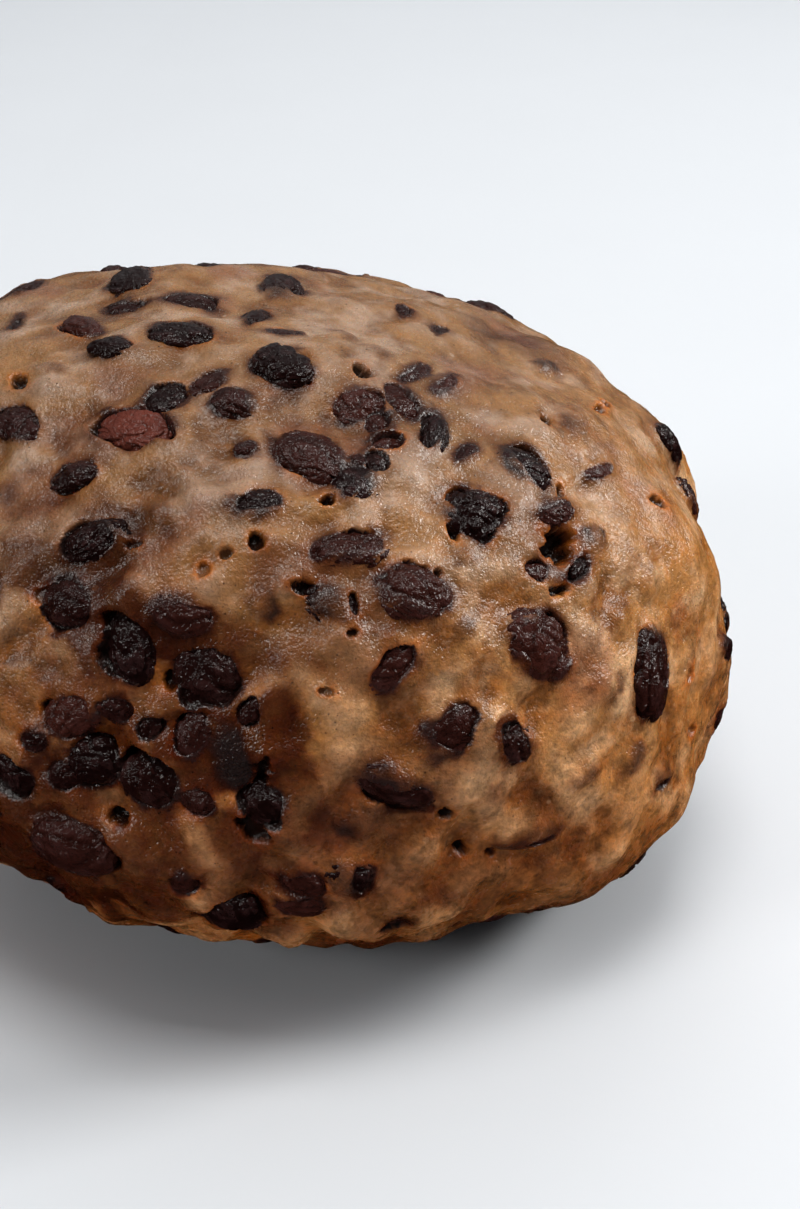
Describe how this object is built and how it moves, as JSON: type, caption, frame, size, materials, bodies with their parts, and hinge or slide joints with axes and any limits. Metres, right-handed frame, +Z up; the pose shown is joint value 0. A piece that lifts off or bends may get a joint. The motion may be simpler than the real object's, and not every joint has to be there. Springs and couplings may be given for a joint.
{
  "type": "clootie dumpling",
  "caption": "Round boiled fruit pudding with a flattened foot, its smooth damp skin set all over with raisins, currants and a pale sultana.",
  "frame": {"origin": "centre of the bounding box, at the table that the pudding stands on", "axes": "+Z up through the crown; -Y is the side with the most fruit, the front; +X is the side that the crown leans towards"},
  "size_m": [0.1704, 0.1594, 0.1136],
  "materials": {
    "pudding": "boiled suet dough, tan brown with amber and grey patches, damp satin skin",
    "raisin": "dried fruit, near black to red brown, wrinkled and glossy with damp",
    "sultana": "paler dried fruit, reddish brown, wrinkled and glossy"
  },
  "bodies": {
    "root": {"pudding": "pudding", "raisin_01": "raisin", "raisin_02": "raisin", "raisin_03": "raisin", "raisin_04": "raisin", "raisin_05": "raisin", "raisin_06": "raisin", "raisin_07": "raisin", "raisin_08": "raisin", "raisin_09": "raisin", "raisin_10": "raisin", "raisin_11": "raisin", "raisin_12": "raisin", "raisin_13": "sultana", "raisin_14": "raisin", "raisin_15": "raisin", "raisin_16": "raisin", "raisin_17": "raisin", "raisin_18": "raisin", "raisin_19": "raisin", "raisin_20": "raisin", "raisin_21": "raisin", "raisin_22": "raisin", "raisin_23": "raisin", "raisin_24": "raisin", "raisin_25": "raisin", "raisin_26": "raisin", "raisin_27": "raisin", "raisin_28": "raisin", "raisin_29": "raisin", "raisin_30": "raisin", "raisin_31": "raisin", "raisin_32": "raisin", "raisin_33": "raisin", "raisin_34": "raisin", "raisin_35": "raisin", "raisin_36": "raisin", "raisin_37": "raisin", "raisin_38": "raisin", "raisin_39": "raisin", "raisin_40": "raisin", "raisin_41": "raisin", "raisin_42": "raisin", "raisin_43": "raisin", "raisin_44": "raisin", "raisin_45": "raisin", "raisin_46": "raisin", "raisin_47": "raisin", "raisin_48": "raisin", "raisin_49": "raisin", "raisin_50": "raisin", "raisin_51": "raisin", "raisin_52": "raisin", "raisin_53": "raisin", "raisin_54": "raisin", "raisin_55": "raisin", "raisin_56": "raisin", "raisin_57": "raisin"}
  },
  "joints": []
}
